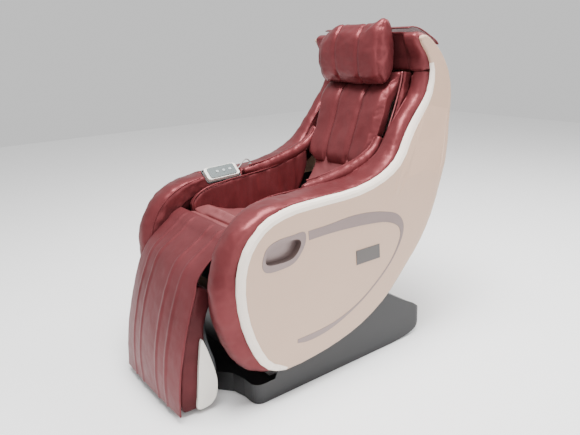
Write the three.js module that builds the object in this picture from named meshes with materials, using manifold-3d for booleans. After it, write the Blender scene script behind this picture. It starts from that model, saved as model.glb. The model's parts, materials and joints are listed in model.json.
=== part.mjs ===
// Massage chair: teardrop side shells, leather bolsters, a tilting body on a low base,
// a lifting calf rest under a hanging front flap, and the massage and drive parts inside.
// Millimetres. +X is the sitter's left, -Y is the front, +Z is up, the floor is z = 0.
import * as THREE from "three";
import { mergeVertices } from "three/addons/utils/BufferGeometryUtils.js";
import Module from "manifold-3d";

const wasm = await Module();
wasm.setup();

// ---------------------------------------------------------------- driving dimensions
const GAP = 0.3; // clearance between touching pieces
const SHELL_X = 326; // outer face of a side shell, from the middle of the chair
const RIM_X = 312; // inner edge of a side shell's rim
const BOLSTER_X = 310; // outer side of a bolster, just inside the rim
const SHELL_WALL = 5;
const SEAT_HALF = 163; // half width of the seat pad
const BACK_HALF = 193; // half width of the back pad
const FLAP_HALF = 208; // half width of the front flap
const FLAP_NECK = 196; // half width of its top, which swings between the bolsters
const HEAD_NARROWING = 0.092; // share of the width lost between the arms and the head
const CENTRE_Y = -34; // moves the chair so that its box is centred on the origin

const TILT = { y: 0, z: 160 }; // axis that the body tilts on
const LEG = { y: -270, z: 480 }; // axis that the calf rest lifts on
const LEVER_R = 70; // calf rest lever, from its axis to the rod's pin
const LEVER_REST = 35; // degrees that the lever starts behind the vertical
const CAP_FLOOR = 1003; // height where the bolsters end and the head cap begins

// Front line of the back pad, which the massage carriage runs parallel to.
const BACK_LOW = new THREE.Vector2(295, 650);
const BACK_DIR = new THREE.Vector2(122, 390).normalize();
const BACK_REAR = new THREE.Vector2(BACK_DIR.y, -BACK_DIR.x);

// Rim of the side shell from the head to the foot: y, z, then the bolster beside it:
// its height over the rim, its inner x and its depth behind the rim.
const RIM = [
  [483, 1006, 24, 236, 45], [464, 928, 26, 236, 45], [408, 860, 26, 236, 45],
  [355, 800, 24, 232, 45], [293, 724, 18, 222, 45], [216, 682, 13, 208, 45],
  [102, 655, 12, 200, 45], [-48, 650, 12, 200, 45], [-178, 643, 15, 200, 45],
  [-268, 614, 26, 206, 45], [-333, 551, 42, 214, 45], [-365, 467, 52, 216, 45],
  [-367, 354, 56, 216, 45], [-338, 236, 52, 216, 45], [-288, 144, 36, 216, 45],
  [-225, 110, 24, 216, 45],
];
// The rest of the shell's outline: under the seat, up the back and over the head end.
const UNDER = [
  [-96, 112], [20, 130], [127, 163], [240, 227], [330, 312], [410, 395], [471, 490],
  [523, 620], [577, 770], [598, 892], [581, 990], [532, 1064],
];
const HEAD_END = [[485, 1105], [449, 1125], [423, 1118], [432, 1097], [467, 1054]];

// ---------------------------------------------------------------- materials
const paint = (color, roughness, metalness = 0) =>
  new THREE.MeshStandardMaterial({ color, roughness, metalness });
const IVORY = paint(0xccbaa6, 0.3);
const LEATHER = paint(0x96414a, 0.42, 0.1);
const LEATHER_LIGHT = paint(0xa8545c, 0.42, 0.1);
const SILVER = paint(0x98908f, 0.35, 0.6);
const BLACK = paint(0x111111, 0.5);
const GREY = paint(0x505052, 0.5);
const STEEL = paint(0x8c8f94, 0.4, 0.9);
const DARK_STEEL = paint(0x2c2e31, 0.45, 0.6);
const RUBBER = paint(0x18181a, 0.85);
const KEYPAD = paint(0x5a6464, 0.5);
const BADGE = paint(0x4a423e, 0.4, 0.2);

// ---------------------------------------------------------------- geometry helpers
const v2 = (pairs) => pairs.map(([y, z]) => new THREE.Vector2(y, z));

// Turns shape axes (x, y, z) into chair axes (y, z, x): outlines are drawn in the side view.
const SIDE_VIEW = new THREE.Matrix4().makeBasis(
  new THREE.Vector3(0, 1, 0), new THREE.Vector3(0, 0, 1), new THREE.Vector3(1, 0, 0));

function smooth(pairs, count, closed = false) {
  const knots = pairs.map(([y, z]) => new THREE.Vector3(y, z, 0));
  const curve = new THREE.CatmullRomCurve3(knots, closed, "centripetal");
  const points = curve.getPoints(count).map((p) => new THREE.Vector2(p.x, p.y));
  if (closed) points.pop();
  return points;
}

function normalAt(points, i, closed) {
  const n = points.length;
  const before = closed ? points[(i + n - 1) % n] : points[Math.max(i - 1, 0)];
  const after = closed ? points[(i + 1) % n] : points[Math.min(i + 1, n - 1)];
  const along = after.clone().sub(before).normalize();
  return new THREE.Vector2(along.y, -along.x);
}

// Moves every point of an outline along its normal; the sign follows the winding.
function offset(points, distance, closed = true) {
  return points.map((p, i) => {
    const step = typeof distance === "function" ? distance(p, i) : distance;
    return p.clone().addScaledVector(normalAt(points, i, closed), step);
  });
}

// A strip of even thickness on one side of an open line.
function band(line, thickness) {
  return [...line, ...offset(line, thickness, false).reverse()];
}

function slab(outline, x0, x1, bevel = 0, holes = []) {
  const shape = new THREE.Shape(outline);
  holes.forEach((hole) => shape.holes.push(new THREE.Path(hole)));
  const geometry = new THREE.ExtrudeGeometry(shape, {
    depth: x1 - x0 - 2 * bevel, bevelEnabled: bevel > 0, bevelThickness: bevel,
    bevelSize: bevel, bevelOffset: -bevel, bevelSegments: 2, curveSegments: 12,
  });
  return geometry.translate(0, 0, x0 + bevel).applyMatrix4(SIDE_VIEW);
}

function box(x0, x1, y0, y1, z0, z1) {
  const geometry = new THREE.BoxGeometry(x1 - x0, y1 - y0, z1 - z0);
  return geometry.translate((x0 + x1) / 2, (y0 + y1) / 2, (z0 + z1) / 2);
}

function rod(from, to, radius, sides = 16) {
  const a = new THREE.Vector3(...from);
  const b = new THREE.Vector3(...to);
  const geometry = new THREE.CylinderGeometry(radius, radius, a.distanceTo(b), sides);
  const turn = new THREE.Quaternion().setFromUnitVectors(
    new THREE.Vector3(0, 1, 0), b.clone().sub(a).normalize());
  return geometry.applyQuaternion(turn).translate(...a.add(b).multiplyScalar(0.5).toArray());
}

// A wheel or ring on the X axis, from profile pairs of (radius, x), closed on itself.
function wheel(profile, y, z, sides = 24) {
  const points = profile.map(([r, x]) => new THREE.Vector2(r, x));
  points.push(points[0].clone());
  const geometry = new THREE.LatheGeometry(points, sides);
  return geometry.rotateZ(-Math.PI / 2).translate(0, y, z);
}

// Skin over equal-sized closed sections, with a fan over each end.
function loft(sections) {
  const size = sections[0].length;
  const positions = sections.flat().flatMap((p) => p.toArray());
  const index = [];
  for (let s = 0; s + 1 < sections.length; s += 1) {
    for (let i = 0; i < size; i += 1) {
      const a = s * size + i;
      const b = s * size + ((i + 1) % size);
      index.push(a, a + size, b, b, a + size, b + size);
    }
  }
  [[sections[0], 0, 1], [sections.at(-1), (sections.length - 1) * size, -1]].forEach(
    ([section, start, way]) => {
      const middle = new THREE.Vector3();
      section.forEach((p) => middle.addScaledVector(p, 1 / size));
      const tip = positions.length / 3;
      positions.push(...middle.toArray());
      for (let i = 0; i < size; i += 1) {
        const here = start + i;
        const next = start + ((i + 1) % size);
        index.push(...(way > 0 ? [tip, here, next] : [tip, next, here]));
      }
    });
  const geometry = new THREE.BufferGeometry();
  geometry.setAttribute("position", new THREE.Float32BufferAttribute(positions, 3));
  geometry.setIndex(index);
  geometry.computeVertexNormals();
  return geometry;
}

function solid(geometry) {
  const bare = geometry.clone();
  bare.deleteAttribute("normal");
  bare.deleteAttribute("uv");
  const merged = mergeVertices(bare, 1e-3);
  const body = new wasm.Manifold(new wasm.Mesh({
    numProp: 3,
    vertProperties: new Float32Array(merged.attributes.position.array),
    triVerts: new Uint32Array(merged.index.array),
  }));
  return body.volume() < 0 ? solid(flipped(merged)) : body;
}

function flipped(geometry) {
  const index = Array.from(geometry.index.array);
  for (let i = 0; i < index.length; i += 3) [index[i], index[i + 1]] = [index[i + 1], index[i]];
  geometry.setIndex(index);
  return geometry;
}

const join = (...geometries) => geometries.map(solid).reduce((a, b) => a.add(b));

// Narrows the upper body smoothly towards the head.
function narrow(body) {
  return body.warp((p) => {
    const rise = THREE.MathUtils.smoothstep(p[2], 640, 860);
    p[0] *= 1 - HEAD_NARROWING * rise;
  });
}

const chair = new THREE.Group();
chair.position.y = CENTRE_Y;

function add(name, shape, material) {
  const body = shape.isBufferGeometry ? solid(shape) : shape;
  const mesh = body.getMesh();
  const geometry = new THREE.BufferGeometry();
  const positions = new Float32Array(mesh.numVert * 3);
  for (let i = 0; i < mesh.numVert; i += 1) {
    positions.set(mesh.vertProperties.slice(i * mesh.numProp, i * mesh.numProp + 3), i * 3);
  }
  geometry.setAttribute("position", new THREE.BufferAttribute(positions, 3));
  geometry.setIndex(new THREE.BufferAttribute(new Uint32Array(mesh.triVerts), 1));
  geometry.computeVertexNormals();
  const piece = new THREE.Mesh(geometry, material);
  piece.name = name;
  chair.add(piece);
}

// Adds a piece made for the sitter's left and its mirror image for the right.
function addPair(name, shape, material, changeRight = (body) => body) {
  const left = shape.isBufferGeometry ? solid(shape) : shape;
  add(`${name}_left`, left, material);
  add(`${name}_right`, changeRight(left.mirror([1, 0, 0])), material);
}

const polar = (centre, degrees, radius) => {
  const angle = THREE.MathUtils.degToRad(degrees);
  return new THREE.Vector2(centre.y + radius * Math.cos(angle), centre.z + radius * Math.sin(angle));
};

function arc(centre, from, to, radius, count = 8) {
  return Array.from({ length: count + 1 }, (_, i) =>
    polar(centre, from + ((to - from) * i) / count, radius));
}

// A point given by its distance up the back line and its distance behind it.
const behindBack = (up, rear) =>
  BACK_LOW.clone().addScaledVector(BACK_DIR, up).addScaledVector(BACK_REAR, rear);
const backBlock = (up0, up1, rear0, rear1) =>
  [[up0, rear0], [up0, rear1], [up1, rear1], [up1, rear0]].map(([u, r]) => behindBack(u, r));

// ---------------------------------------------------------------- side shells
const SCOOP_FLANGE = smooth([
  [-281, 478], [-279, 506], [-261, 538], [-228, 552], [-168, 557], [-122, 556],
  [-120, 526], [-140, 491], [-166, 468], [-199, 460], [-268, 462]], 44, true);
const SCOOP_MOUTH = smooth([
  [-267, 488], [-267, 514], [-242, 537], [-193, 541], [-146, 538], [-138, 525],
  [-153, 497], [-173, 483], [-223, 479]], 36, true);
const SCOOP_DEPTH = 24;
const INLAY = 3; // depth of the pocket that the trim and the scoop's flange lie in
const TRIM_PROUD = 0.8;

// Middle line of the silver trim and its half width: broad above, a thin line behind,
// broad again at its lower front end.
const TRIM = [
  [-108, 541, 15], [-28, 544, 15], [72, 547, 20], [162, 541, 20], [227, 530, 18],
  [274, 513, 18], [300, 487, 13], [304, 452, 7], [288, 412, 4], [252, 362, 3],
  [197, 313, 3], [122, 262, 3], [62, 233, 4], [-8, 209, 7], [-68, 198, 10],
  [-133, 195, 10], [-168, 199, 6],
];

function trimOutline(extra) {
  const knots = TRIM.map(([y, z, half]) => new THREE.Vector3(y, z, half));
  const line = new THREE.CatmullRomCurve3(knots, false, "centripetal").getPoints(60);
  const middle = line.map((p) => new THREE.Vector2(p.x, p.y));
  const left = offset(middle, (_, i) => line[i].z + extra, false);
  const right = offset(middle, (_, i) => -line[i].z - extra, false);
  return [...left, ...right.reverse()];
}

// The outer skin rolls in over the rim by these steps of (x, inset); the hollow inside
// follows it one wall thickness away.
const ROLL = [[RIM_X, 0], [316, 1], [321, 6], [325, 14], [SHELL_X, 26]];

function sideShell() {
  const rim = RIM.map(([y, z]) => [y, z]);
  const outline = smooth([...rim, ...UNDER, ...HEAD_END], 72, true);
  const inward = (inset) => offset(outline, (p) => {
    const slimHead = 1 - 0.75 * THREE.MathUtils.smoothstep(p.y, 850, 1090);
    return -inset * slimHead;
  });
  const ring = ([x, inset]) => inward(inset).map((p) => new THREE.Vector3(x, p.x, p.y));
  const hollow = [[SHELL_X - SHELL_WALL, 27], [317, 16], [RIM_X, SHELL_WALL]];
  const rings = [...hollow, ...ROLL].map(ring);
  const positions = rings.flat().flatMap((p) => p.toArray());
  const size = outline.length;
  const index = [];
  for (let s = 0; s + 1 < rings.length; s += 1) {
    for (let i = 0; i < size; i += 1) {
      const a = s * size + i;
      const b = s * size + ((i + 1) % size);
      index.push(a, b, a + size, b, b + size, a + size);
    }
  }
  const cap = (inset, start, way) => {
    THREE.ShapeUtils.triangulateShape(inward(inset), []).forEach(([a, b, c]) => {
      index.push(start + a, start + (way > 0 ? b : c), start + (way > 0 ? c : b));
    });
  };
  cap(27, 0, -1);
  cap(26, (rings.length - 1) * size, 1);
  const geometry = new THREE.BufferGeometry();
  geometry.setAttribute("position", new THREE.Float32BufferAttribute(positions, 3));
  geometry.setIndex(index);
  const pocket = SHELL_X - INLAY;
  const dish = narrow(solid(geometry).refineToLength(140));
  return dish
    .subtract(solid(slab(trimOutline(GAP), pocket, SHELL_X + 9)))
    .subtract(solid(slab(offset(SCOOP_FLANGE, -GAP), pocket, SHELL_X + 9)))
    .subtract(solid(slab(offset(SCOOP_MOUTH, -4), SHELL_X - 40, SHELL_X + 9)));
}

function scoop() {
  const flange = slab(SCOOP_FLANGE, SHELL_X - INLAY + GAP, SHELL_X + TRIM_PROUD);
  const floorX = SHELL_X - SCOOP_DEPTH;
  const cup = slab(offset(SCOOP_MOUTH, -3), floorX - 3, SHELL_X - 1);
  return join(flange, cup).subtract(solid(slab(SCOOP_MOUTH, floorX, SHELL_X + 9)));
}

function badgePlate() {
  const outline = v2([[88, 390], [196, 390], [194, 441], [86, 441]]);
  return slab(outline, SHELL_X + GAP, SHELL_X + 2.3, 0.8);
}

// ---------------------------------------------------------------- leather covered body
// Section of a bolster as (share of the width from the outside in, share of the height).
const BOLSTER_SECTION = [
  [0, -1], [0, 0.05], [0.08, 0.55], [0.25, 0.9], [0.5, 1], [0.75, 0.92],
  [0.93, 0.62], [1, 0.15], [1, -1],
];

function bolster() {
  const path = new THREE.CatmullRomCurve3(
    RIM.map(([y, z, height]) => new THREE.Vector3(y, z, height)), false, "centripetal");
  const size = new THREE.CatmullRomCurve3(
    RIM.map(([, , , inner, depth]) => new THREE.Vector3(inner, depth, 0)), false, "centripetal");
  const stations = 30;
  const points = Array.from({ length: stations + 1 }, (_, i) => path.getPoint(i / stations));
  const line = points.map((p) => new THREE.Vector2(p.x, p.y));
  const sections = points.map((p, i) => {
    const out = normalAt(line, i, false);
    const { x: inner, y: depth } = size.getPoint(i / stations);
    return BOLSTER_SECTION.map(([across, up]) => {
      const height = up < 0 ? up * depth : up * p.z;
      const x = THREE.MathUtils.lerp(BOLSTER_X, inner, across);
      return new THREE.Vector3(x, p.x + out.x * height, p.y + out.y * height);
    });
  });
  return narrow(solid(loft(sections))).trimByPlane([0, 0, -1], GAP - CAP_FLOOR);
}

// The cap carries the bolsters over the head end, and stands back behind the pillow.
function headCap() {
  const over = [[432, 1136], [474, 1127], [524, 1082], [557, 1022], [564, 1004], [512, 1004]];
  const ends = smooth([[459, 1004], [450, 1050], [417, 1100], [410, 1124], ...over], 40, true);
  const middle = smooth([[470, 1004], [462, 1050], [450, 1096], [440, 1122], ...over], 40, true);
  const piece = (outline, x0, x1) => solid(slab(outline, x0, x1));
  return narrow(piece(middle, -240, 240)
    .add(piece(ends, 225, BOLSTER_X)).add(piece(ends, -BOLSTER_X, -225))
    .trimByPlane([0, 0, 1], CAP_FLOOR));
}

function innerWall() {
  const outline = v2([
    [-248, 455], [-248, 572], [-228, 596], [-188, 617], [-90, 632], [8, 640], [110, 652],
    [205, 676], [270, 700], [272, 640], [225, 540], [200, 455]]);
  return slab(outline, SEAT_HALF + 3, 198, 6);
}

function seatPad() {
  const top = smooth([
    [-256, 557], [-250, 567], [-225, 563], [-170, 540], [-90, 517], [40, 505], [150, 508]], 22);
  const outline = [...top, ...v2([[158, 500], [158, 451], [-203, 451], [-226, 547], [-242, 554]])];
  return slab(outline, -SEAT_HALF, SEAT_HALF);
}

// The roll over the calf rest's axis carries the front of the seat pad and the flap.
function seatFrontRoll() {
  const outline = [
    ...arc(LEG, 142, 62, 72), ...v2([[-212, 449], [-226, 449]]), ...arc(LEG, 62, 142, 46),
  ];
  return slab(outline, -SEAT_HALF, SEAT_HALF, 2);
}

function lumbarPad() {
  const face = smooth([[172, 508], [215, 534], [259, 585], [286, 640], [296, 692]], 12);
  return slab(band(face, 40), -SEAT_HALF, SEAT_HALF, 5);
}

function backPad() {
  const face = smooth([
    [299, 697], [309, 750], [340, 840], [363, 902], [384, 932], [412, 954], [434, 976], [444, 1001]], 18);
  return slab(band(face, 40), -BACK_HALF, BACK_HALF, 6);
}

// Loose leather lapels that close the gap between the back pad and the bolsters.
function backWing() {
  const face = smooth([[344, 762], [366, 802], [404, 880], [432, 960], [440, 1001]], 10);
  return slab(band(face, 40), BACK_HALF + 20, BACK_HALF + 35, 5);
}

function backCover() {
  const line = offset(smooth(UNDER.slice(4), 24), -12, false).filter((p) => p.y > 325);
  return narrow(solid(slab(band(line, -SHELL_WALL), -290, 290)).refineToLength(250))
    .trimByPlane([0, 0, -1], GAP - CAP_FLOOR);
}

// ---------------------------------------------------------------- head pillow
function pillow() {
  const centre = new THREE.Vector2(384, 1062);
  const lean = THREE.MathUtils.degToRad(2);
  const stations = [
    [-178, 0.5], [-172, 0.78], [-148, 0.95], [-75, 1], [75, 1], [148, 0.95], [172, 0.78], [178, 0.5]];
  const sides = 16;
  const sections = stations.map(([x, scale]) => Array.from({ length: sides }, (_, i) => {
    const angle = (-2 * Math.PI * i) / sides;
    const p = new THREE.Vector2(42 * Math.cos(angle), 118 * Math.sin(angle) * (0.4 + 0.6 * scale));
    p.x *= scale;
    p.rotateAround(new THREE.Vector2(), -lean).add(centre);
    return new THREE.Vector3(x, p.x, p.y);
  }));
  return loft(sections);
}

const STRAP_HALF = 228;
function pillowStrap() {
  const line = smooth([[432, 1151], [450, 1155], [490, 1148], [545, 1122], [602, 1092]], 14);
  return slab(band(line, 4), -STRAP_HALF, STRAP_HALF);
}

// ---------------------------------------------------------------- calf rest
const FLAP_FACE = smooth([
  [-360, 517], [-418, 459], [-454, 385], [-481, 308], [-498, 250], [-513, 190], [-527, 107],
  [-534, 24]], 24);;
const FLAP_THICKNESS = 10;

function frontFlap() {
  const sheet = solid(slab(band(FLAP_FACE, -FLAP_THICKNESS), -FLAP_HALF, FLAP_HALF, 2));
  const beside = (x0, x1) => solid(box(x0, x1, -480, -300, 425, 560));
  return sheet.subtract(beside(FLAP_NECK, 230)).subtract(beside(-230, -FLAP_NECK));
}

const CALF_REAR = [
  [-428, 14], [-408, 39], [-397, 92], [-401, 133], [-413, 183], [-422, 245], [-408, 318],
  [-376, 384]];

function calfRest() {
  const kept = offset(FLAP_FACE, -(FLAP_THICKNESS + 0.6), false).filter((p) => p.y < 440 && p.y > 30);
  const outline = [...kept, ...v2([[-512, 16]]), ...smooth(CALF_REAR, 20)];
  const body = solid(slab(outline, -189, 189, 4));
  // Two calf channels, open to the front and at the foot end.
  const channel = (x) => {
    const mouth = v2([[-545, 70], [-462, 70], [-464, 150], [-458, 250], [-436, 330], [-412, 420],
      [-310, 560], [-700, 560], [-700, 70]]);
    return solid(slab(mouth, x - 62, x + 62, 14));
  };
  return body.subtract(channel(-92)).subtract(channel(92));
}

function legPlate() {
  const outline = smooth([
    [-437, 252], [-425, 225], [-413, 180], [-402, 133], [-397, 92], [-405, 42], [-428, 18],
    [-472, 20], [-468, 60], [-462, 110], [-452, 180]], 36, true);
  return slab(outline, 189 + GAP, 201, 1.5);
}

function legrestFrame() {
  const spine = smooth([[-270, 480], [-340, 384], [-396, 318], [-409, 245], [-399, 183],
    [-386, 133], [-383, 96]], 16);
  const arm = (x) => slab(band(offset(spine, -1, false), -9), x - 6, x + 6);
  const pin = polar(LEG, 270 + LEVER_REST, LEVER_R);
  const ear = (x) => slab([
    ...arc(LEG, 90, 250, 16), ...arc({ y: pin.x, z: pin.y }, 215, 395, 14)], x - 3, x + 3);
  const pinRod = rod([-22, pin.x, pin.y], [22, pin.x, pin.y], 7);
  const axle = rod([-222, LEG.y, LEG.z], [222, LEG.y, LEG.z], 12, 24);
  const braces = [[-406, -400, 225, 240], [-382, -376, 110, 125]].map(
    ([y0, y1, z0, z1]) => box(-150, 150, y0, y1, z0, z1));
  return join(axle, arm(-144), arm(144), ear(-18), ear(18), pinRod, ...braces);
}

// ---------------------------------------------------------------- steel body frame
const PLATE_X = [212, 218];
const RECLINE_PIN = { y: -60, z: 300 };

function seatFrame() {
  const plate = (x0, x1) => slab(v2([
    [-50, 128], [50, 128], [112, 195], [318, 450], [372, 590], [250, 590], [-175, 586],
    [-240, 556], [-300, 500], [-252, 300]]), x0, x1);
  const tube = (y, z, r) => rod([-214, y, z], [214, y, z], r);
  const pan = box(-214, 214, -226, 158, 441, 447);
  const lug = box(-16, 16, 104, 134, 434.5, 444);
  const frame = join(plate(...PLATE_X), plate(-218, -212), tube(RECLINE_PIN.y, RECLINE_PIN.z, 9),
    tube(300, 520, 12), tube(60, 220, 12), pan, lug);
  const holes = join(rod([-240, TILT.y, TILT.z], [240, TILT.y, TILT.z], 12.2, 24),
    rod([-240, LEG.y, LEG.z], [240, LEG.y, LEG.z], 12.2, 24));
  return frame.subtract(holes);
}

// ---------------------------------------------------------------- base
const BASE_TOP = [
  [-400, 70], [-236, 72], [-212, 122], [-50, 150], [100, 200], [190, 232], [250, 226],
  [286, 209], [351, 167], [412, 134], [440, 112]];

function basePlan() {
  const side = (sign) => v2([[sign * 120, -357], [sign * 165, -322], [sign * 215, -311]]);
  const corner = (y, z, from, to, r) => arc({ y, z }, from, to, r, 6);
  const plan = [
    ...side(1), ...corner(255, -279, -90, 0, 32), ...corner(261, 427, 0, 90, 28),
    ...corner(-261, 427, 90, 180, 28), ...corner(-255, -279, 180, 270, 32),
    ...side(-1).reverse(), ...v2([[-60, -371], [0, -374], [60, -371]])];
  return plan;
}

// A solid prism over the base's plan, drawn in by the given amount.
const basePrism = (inset) => solid(new THREE.ExtrudeGeometry(
  new THREE.Shape(offset(basePlan(), -inset)), { depth: 300, bevelEnabled: false }));

function baseCover() {
  const profile = [
    ...v2(BASE_TOP), ...smooth([[453, 90], [450, 56], [424, 24], [363, 7], [290, 2]], 12),
    ...v2([[-400, 2]])];
  const inletHole = box(-152, -118, 430, 470, 46, 74);
  const switchHole = box(-106, -84, 430, 470, 50, 70);
  const frontDeck = basePrism(2).intersect(solid(box(-300, 300, -400, -247, 60, 65)));
  const skirt = solid(box(-198, 198, -252, -247, 62, 200));
  return basePrism(0).subtract(basePrism(4)).intersect(solid(slab(profile, -300, 300)))
    .add(frontDeck).add(skirt)
    .subtract(solid(inletHole)).subtract(solid(switchHole));
}

function rearLedge() {
  const line = v2([[262, 220], [286, 206], [351, 164], [412, 131], [447, 104]]);
  const plate = solid(slab(band(line, 4), -282, 282)).intersect(basePrism(4 + GAP));
  const slots = [-190, -150, 150, 190].map((x) => solid(box(x - 12, x + 12, 368, 378, 100, 200)));
  return slots.reduce((body, slot) => body.subtract(slot), plate);
}

function baseFrame() {
  const rail = (s) => box(s * 235 - 15, s * 235 + 15, -270, 400, 12, 42);
  const cross = (y) => box(-230, 230, y - 15, y + 15, 12, 42);
  const upright = (s) => slab(v2([[-45, 40], [45, 40], [20, 182], [-20, 182]]), s * 230 - 5, s * 230 + 5);
  const stub = (s) => rod([s * 206, TILT.y, TILT.z], [s * 232, TILT.y, TILT.z], 12, 24);
  const ear = (x) => box(x - 3, x + 3, -245, -215, 30, 74);
  const hingePin = rod([-24, -230, 60], [24, -230, 60], 6);
  const trays = box(-160, 160, 130, 260, 20, 36);
  const wheelPin = (s) => rod([s * 245, 345, 27], [s * 275, 345, 27], 6);
  return join(rail(1), rail(-1), cross(-230), cross(130), cross(260), upright(1), upright(-1),
    stub(1), stub(-1), ear(-24), ear(24), hingePin, trays, wheelPin(1), wheelPin(-1));
}

const foot = (x, y) => new THREE.CylinderGeometry(20, 22, 11.7, 20)
  .rotateX(Math.PI / 2).translate(x, y, 5.85);

function transportWheel() {
  return wheel([[6.06, 254], [22, 254], [24, 257], [24, 269], [22, 272], [6.06, 272]], 345, 27);
}

// ---------------------------------------------------------------- drives
const RECLINE_FOOT = { y: -230, z: 60 };
const RECLINE_LENGTH = Math.hypot(
  RECLINE_PIN.y - RECLINE_FOOT.y, RECLINE_PIN.z - RECLINE_FOOT.z);
const RECLINE_DIR = new THREE.Vector2(
  RECLINE_PIN.y - RECLINE_FOOT.y, RECLINE_PIN.z - RECLINE_FOOT.z).divideScalar(RECLINE_LENGTH);

const onRecline = (along) => [
  0, RECLINE_FOOT.y + RECLINE_DIR.x * along, RECLINE_FOOT.z + RECLINE_DIR.y * along];

function reclineActuator() {
  const eye = wheel([[6.06, -18], [14, -18], [14, 18], [6.06, 18]], RECLINE_FOOT.y, RECLINE_FOOT.z);
  const tube = rod(onRecline(12), onRecline(215), 20, 20);
  const motor = rod(onRecline(32), onRecline(118), 22, 20).translate(36, 0, 0);
  const gearCase = rod(onRecline(36), onRecline(66), 24, 20).translate(16, 0, 0);
  const bore = rod(onRecline(60), onRecline(240), 9.5, 20);
  const pinHole = rod([-30, RECLINE_FOOT.y, RECLINE_FOOT.z], [30, RECLINE_FOOT.y, RECLINE_FOOT.z], 6.06, 24);
  return join(eye, tube, motor, gearCase).subtract(solid(bore)).subtract(solid(pinHole));
}

function reclineRod() {
  const shaft = rod(onRecline(120), onRecline(RECLINE_LENGTH - 14), 9, 20);
  const eye = wheel([[12, -12], [19, -12], [19, 12], [12, 12]], RECLINE_PIN.y, RECLINE_PIN.z);
  const clear = rod([-30, RECLINE_PIN.y, RECLINE_PIN.z], [30, RECLINE_PIN.y, RECLINE_PIN.z], 12, 24);
  return join(shaft, eye).subtract(solid(clear));
}

// The calf rest's rod runs level, half way between the highest and lowest place of its pin.
const LEG_PIN = polar(LEG, 270 + LEVER_REST, LEVER_R);
const LEG_ROD_Z = LEG.z - (LEVER_R * (1 + Math.cos(THREE.MathUtils.degToRad(LEVER_REST)))) / 2;

function legActuator() {
  const tube = rod([0, -60, LEG_ROD_Z], [0, 134, LEG_ROD_Z], 17, 20);
  const motor = rod([34, -10, LEG_ROD_Z - 6], [34, 110, LEG_ROD_Z - 6], 20, 20);
  const link = box(0, 34, 70, 110, LEG_ROD_Z - 14, LEG_ROD_Z + 8);
  return join(tube, motor, link).subtract(solid(rod([0, -100, LEG_ROD_Z], [0, 100, LEG_ROD_Z], 8.5, 20)));
}

function legRod() {
  const shaft = rod([0, LEG_PIN.x + 22, LEG_ROD_Z], [0, 20, LEG_ROD_Z], 8, 20);
  const eye = wheel([[16, -10], [23, -10], [23, 10], [16, 10]], LEG_PIN.x, LEG_ROD_Z);
  return join(shaft, eye);
}

// ---------------------------------------------------------------- massage mechanism
const RAIL_REAR = [118, 140];
const RAIL_UP = [0, 385];
const ROLLER = { up: 75, rear: 73, radius: 27 };

function backFrame() {
  const rail = (x) => slab(backBlock(...RAIL_UP, ...RAIL_REAR), x - 6, x + 6);
  const cross = (up) => slab(backBlock(up, up + 14, ...RAIL_REAR), -206, 206);
  const screwHole = rod([0, ...behindBack(-20, 129).toArray()], [0, ...behindBack(420, 129).toArray()], 6.5);
  return join(rail(-118), rail(118), cross(0), cross(371)).subtract(solid(screwHole));
}

function leadScrew() {
  return rod([0, ...behindBack(2, 129).toArray()], [0, ...behindBack(383, 129).toArray()], 6);
}

function carriage() {
  const block = slab(backBlock(25, 125, 104, 150), -106, 106, 3);
  const axle = behindBack(ROLLER.up, ROLLER.rear);
  const arm = (x) => slab(backBlock(60, 90, 60, 112), x - 4, x + 4);
  const pin = (s) => rod([s * 50, axle.x, axle.y], [s * 88, axle.x, axle.y], 6, 24);
  const screwHole = rod([0, ...behindBack(0, 129).toArray()], [0, ...behindBack(160, 129).toArray()], 7);
  return join(block, arm(-54), arm(54), pin(-1), pin(1)).subtract(solid(screwHole));
}

function massageMotor() {
  const a = behindBack(125 + GAP, 127);
  const b = behindBack(165, 127);
  return rod([58, a.x, a.y], [58, b.x, b.y], 24, 20);
}

function roller() {
  const axle = behindBack(ROLLER.up, ROLLER.rear);
  const r = ROLLER.radius;
  return wheel([[6.06, 59], [r - 6, 59], [r, 65], [r, 79], [r - 6, 85], [6.06, 85]], axle.x, axle.y);
}

// ---------------------------------------------------------------- remote control
const REMOTE_PLACE = new THREE.Matrix4().compose(
  new THREE.Vector3(-224, -96, 647),
  new THREE.Quaternion().setFromEuler(new THREE.Euler(
    THREE.MathUtils.degToRad(4), THREE.MathUtils.degToRad(38), 0, "YXZ")),
  new THREE.Vector3(1, 1, 1));
const REMOTE = { width: 56, length: 130, thickness: 16 };
const CRADLE_WALL = 3;
const BUTTONS = [{ name: "power", y: 32 }, { name: "up", y: 6 }, { name: "down", y: -20 }];
const onRemote = (geometry) => geometry.applyMatrix4(REMOTE_PLACE);

function roundedPlate(width, length, z0, z1, corner, holes = []) {
  const shape = new THREE.Shape();
  const [w, l] = [width / 2, length / 2];
  shape.moveTo(-w + corner, -l);
  shape.lineTo(w - corner, -l).quadraticCurveTo(w, -l, w, -l + corner);
  shape.lineTo(w, l - corner).quadraticCurveTo(w, l, w - corner, l);
  shape.lineTo(-w + corner, l).quadraticCurveTo(-w, l, -w, l - corner);
  shape.lineTo(-w, -l + corner).quadraticCurveTo(-w, -l, -w + corner, -l);
  holes.forEach((hole) => shape.holes.push(hole));
  const geometry = new THREE.ExtrudeGeometry(shape, {
    depth: z1 - z0, bevelEnabled: false, curveSegments: 6 });
  return geometry.translate(0, 0, z0);
}

function remoteCradle() {
  const w = REMOTE.width + 4 + 2 * CRADLE_WALL;
  const l = REMOTE.length + 4 + 2 * CRADLE_WALL;
  const outer = roundedPlate(w, l, -CRADLE_WALL - GAP, 4, 10);
  const inner = roundedPlate(w - 2 * CRADLE_WALL, l - 2 * CRADLE_WALL, -GAP, 30, 8);
  return solid(onRemote(outer)).subtract(solid(onRemote(inner)));
}

const remoteBody = () => onRemote(
  roundedPlate(REMOTE.width, REMOTE.length, 0, REMOTE.thickness, 12));

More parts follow.
